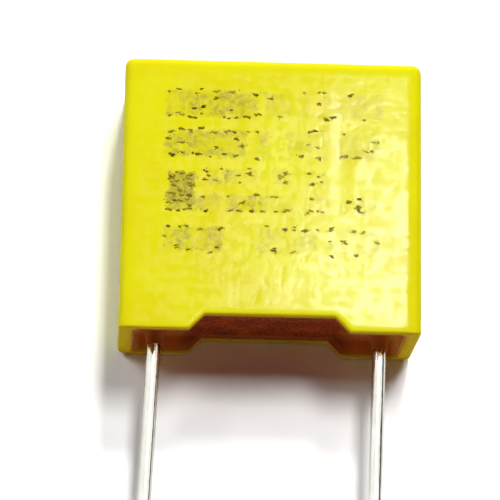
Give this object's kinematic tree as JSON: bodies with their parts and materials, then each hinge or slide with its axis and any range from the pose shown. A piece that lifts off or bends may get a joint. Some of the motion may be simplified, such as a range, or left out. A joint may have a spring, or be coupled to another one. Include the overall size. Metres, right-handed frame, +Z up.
{
  "type": "safety capacitor",
  "caption": "Box-type film interference-suppression capacitor: moulded case potted with resin, a sealed winding inside and long radial leads for a through-hole board.",
  "frame": {"origin": "centre of the case's large back face, which the part lies on", "axes": "+Z up, out of the printed face; +Y from the leads to the closed end; +X along the lead pitch"},
  "size_m": [0.013, 0.029, 0.006],
  "materials": {
    "case": "gloss",
    "resin": "gloss",
    "film": "satin",
    "spray": "matte",
    "lead": "gloss"
  },
  "bodies": {
    "root": {"case": "case", "potting_resin": "resin", "film_winding": "film", "end_spray_left": "spray", "end_spray_right": "spray", "lead_left": "lead", "lead_right": "lead"}
  },
  "joints": []
}
